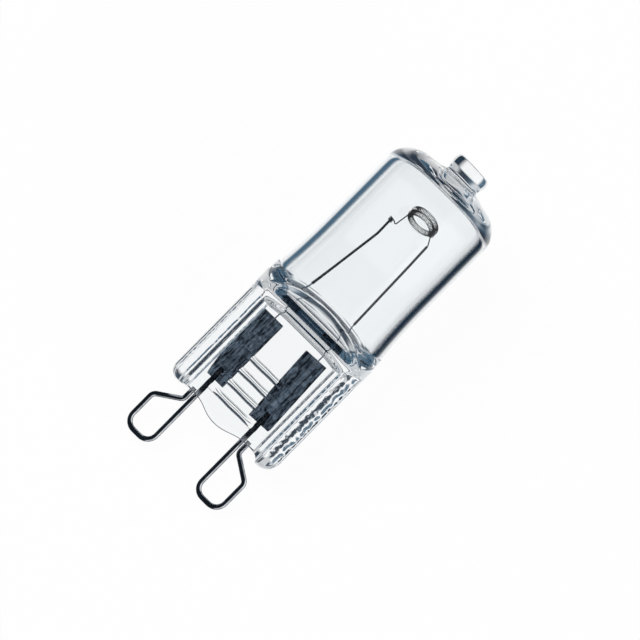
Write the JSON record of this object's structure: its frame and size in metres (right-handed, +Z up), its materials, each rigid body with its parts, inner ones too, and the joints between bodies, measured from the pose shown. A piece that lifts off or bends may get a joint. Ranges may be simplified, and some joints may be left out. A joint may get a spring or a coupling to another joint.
{
  "type": "halogen bulb",
  "caption": "Mains halogen capsule bulb: a clear quartz tube with a sealed tip and a flat pressed foot, foils, a coiled filament and looped wire pins, lying as it comes to rest.",
  "frame": {"origin": "on the surface that the lamp lies on, below the middle of its box", "axes": "+X along the lamp as seen from above, from the looped pins towards the sealed tip; +Y across the lamp from its right pin to its left pin; +Z up. The lamp's own axis rises towards the tip by about 15 degrees, because it lies on its shoulder and the feet of its ribs"},
  "size_m": [0.039, 0.0138, 0.0161],
  "materials": {
    "quartz_glass": "clear, fire polished",
    "molybdenum_foil": "dark, oxidised",
    "molybdenum_wire": "drawn, semi-bright",
    "tungsten_wire": "drawn, dark"
  },
  "bodies": {
    "root": {"envelope": "quartz_glass", "left_foil": "molybdenum_foil", "right_foil": "molybdenum_foil", "left_pin": "molybdenum_wire", "right_pin": "molybdenum_wire", "left_lead": "molybdenum_wire", "right_lead": "molybdenum_wire", "filament": "tungsten_wire"}
  },
  "joints": []
}
